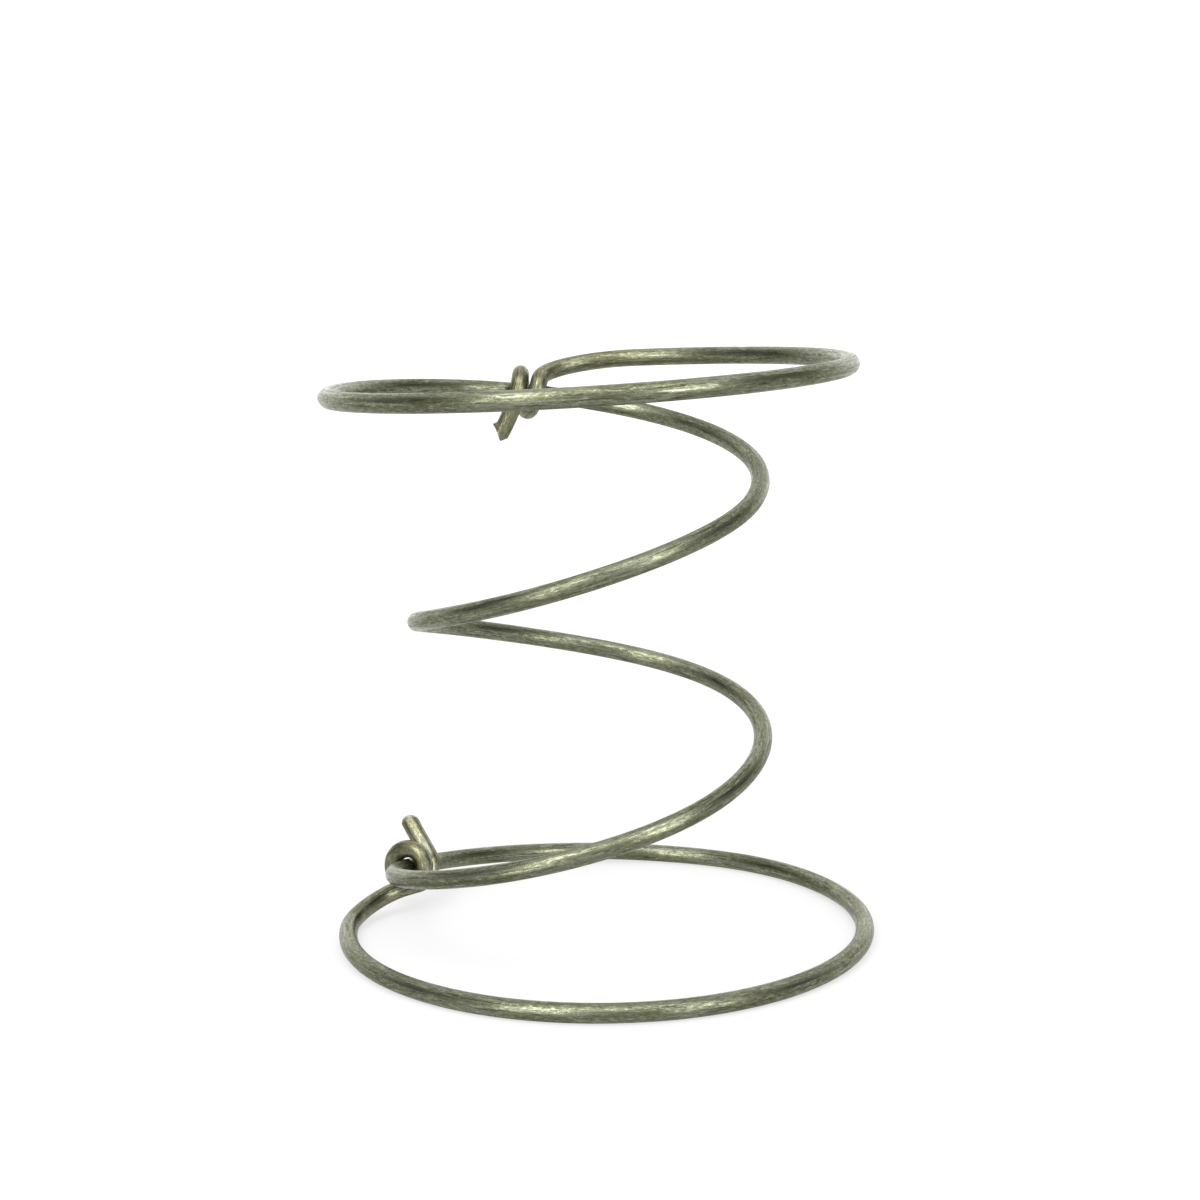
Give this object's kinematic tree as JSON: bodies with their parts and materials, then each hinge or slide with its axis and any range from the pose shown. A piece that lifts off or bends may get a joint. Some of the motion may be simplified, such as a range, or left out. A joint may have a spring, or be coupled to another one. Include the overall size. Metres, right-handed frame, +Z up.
{
  "type": "double-cone furniture spring",
  "caption": "Hourglass coil spring of bare steel wire, wide ring at each end, each ring closed by a knot round the coil.",
  "frame": {"origin": "centre of the base ring, on the plane it rests on", "axes": "+Z up along the coil to the top ring; +X to the right and +Y to the back as the spring stands with its base knot at the left back"},
  "size_m": [0.0942, 0.0921, 0.1012],
  "materials": {
    "spring_wire": "bare drawn spring steel with fine lengthwise die lines and a light greenish-grey tarnish"
  },
  "bodies": {
    "base": {"base_ring": "spring_wire", "base_rise": "spring_wire", "base_lead": "spring_wire", "base_knot": "spring_wire", "base_tail": "spring_wire"},
    "coil_01": {"coil_01": "spring_wire"},
    "coil_02": {"coil_02": "spring_wire"},
    "coil_03": {"coil_03": "spring_wire"},
    "coil_04": {"coil_04": "spring_wire"},
    "coil_05": {"coil_05": "spring_wire"},
    "coil_06": {"coil_06": "spring_wire"},
    "coil_07": {"coil_07": "spring_wire"},
    "coil_08": {"coil_08": "spring_wire"},
    "coil_09": {"coil_09": "spring_wire"},
    "coil_10": {"coil_10": "spring_wire"},
    "coil_11": {"coil_11": "spring_wire"},
    "top": {"top_rise": "spring_wire", "top_ring": "spring_wire", "top_lead": "spring_wire", "top_knot": "spring_wire", "top_tail": "spring_wire"}
  },
  "joints": [
    {"name": "compress_1", "type": "hinge", "parent": "base", "child": "coil_01", "pos_m": [-0.03717, 0.0008, 0.01063], "axis": [0.1238, -0.9717, 0.2012], "range_deg": [-10.59, 2.47], "stiffness_Nm_per_rad": 32.06},
    {"name": "compress_2", "type": "hinge", "parent": "coil_01", "child": "coil_02", "pos_m": [-0.019, -0.02482, 0.01792], "axis": [0.8763, -0.4216, 0.2332], "range_deg": [-4.51, 1.05], "stiffness_Nm_per_rad": 27.62},
    {"name": "compress_3", "type": "hinge", "parent": "coil_02", "child": "coil_03", "pos_m": [0.00935, -0.02488, 0.02534], "axis": [0.8809, 0.3963, 0.2587], "range_deg": [-6.46, 1.51], "stiffness_Nm_per_rad": 19.09},
    {"name": "lean_y_1", "type": "hinge", "parent": "coil_03", "child": "coil_04", "pos_m": [0.02721, -0.00289, 0.03365], "axis": [0.19, 0.9424, 0.2754], "range_deg": [-4, 4], "stiffness_Nm_per_rad": 5.8},
    {"name": "compress_4", "type": "hinge", "parent": "coil_04", "child": "coil_05", "pos_m": [0.01745, 0.0246, 0.04129], "axis": [-0.7608, 0.617, 0.2011], "range_deg": [-19.18, 4.47], "stiffness_Nm_per_rad": 11.23},
    {"name": "lean_x_1", "type": "hinge", "parent": "coil_05", "child": "coil_06", "pos_m": [-0.01095, 0.02966, 0.04735], "axis": [-0.9301, -0.2997, 0.2126], "range_deg": [-4, 4], "stiffness_Nm_per_rad": 5.8},
    {"name": "lean_y_2", "type": "hinge", "parent": "coil_06", "child": "coil_07", "pos_m": [-0.03073, 0.00964, 0.05383], "axis": [-0.281, -0.938, 0.2032], "range_deg": [-4, 4], "stiffness_Nm_per_rad": 5.8},
    {"name": "compress_5", "type": "hinge", "parent": "coil_07", "child": "coil_08", "pos_m": [-0.02493, -0.01791, 0.05967], "axis": [0.6349, -0.7421, 0.215], "range_deg": [-18.74, 4.36], "stiffness_Nm_per_rad": 11.5},
    {"name": "lean_x_2", "type": "hinge", "parent": "coil_08", "child": "coil_09", "pos_m": [0.00156, -0.02785, 0.06773], "axis": [0.9472, 0.136, 0.2903], "range_deg": [-4, 4], "stiffness_Nm_per_rad": 5.8},
    {"name": "compress_6", "type": "hinge", "parent": "coil_09", "child": "coil_10", "pos_m": [0.02428, -0.0109, 0.07609], "axis": [0.4051, 0.8792, 0.2506], "range_deg": [-6.33, 1.47], "stiffness_Nm_per_rad": 18.86},
    {"name": "compress_7", "type": "hinge", "parent": "coil_10", "child": "coil_11", "pos_m": [0.02445, 0.01854, 0.08377], "axis": [-0.3981, 0.8863, 0.2365], "range_deg": [-4.21, 0.98], "stiffness_Nm_per_rad": 26.36},
    {"name": "compress_8", "type": "hinge", "parent": "coil_11", "child": "top", "pos_m": [-0.00216, 0.03832, 0.091], "axis": [-0.9755, 0.1413, 0.1686], "range_deg": [-10.57, 2.46], "stiffness_Nm_per_rad": 35.58}
  ],
  "couplings": [
    {"joint": "compress_1", "follows": "compress_7", "ratio": 2.5144},
    {"joint": "compress_2", "follows": "compress_7", "ratio": 1.0703},
    {"joint": "compress_3", "follows": "compress_7", "ratio": 1.5353},
    {"joint": "lean_y_1", "follows": "lean_y_2", "ratio": -1},
    {"joint": "compress_4", "follows": "compress_7", "ratio": 4.5565},
    {"joint": "compress_5", "follows": "compress_7", "ratio": 4.4511},
    {"joint": "lean_x_2", "follows": "lean_x_1", "ratio": -1},
    {"joint": "compress_6", "follows": "compress_7", "ratio": 1.5026},
    {"joint": "compress_8", "follows": "compress_7", "ratio": 2.5094}
  ]
}
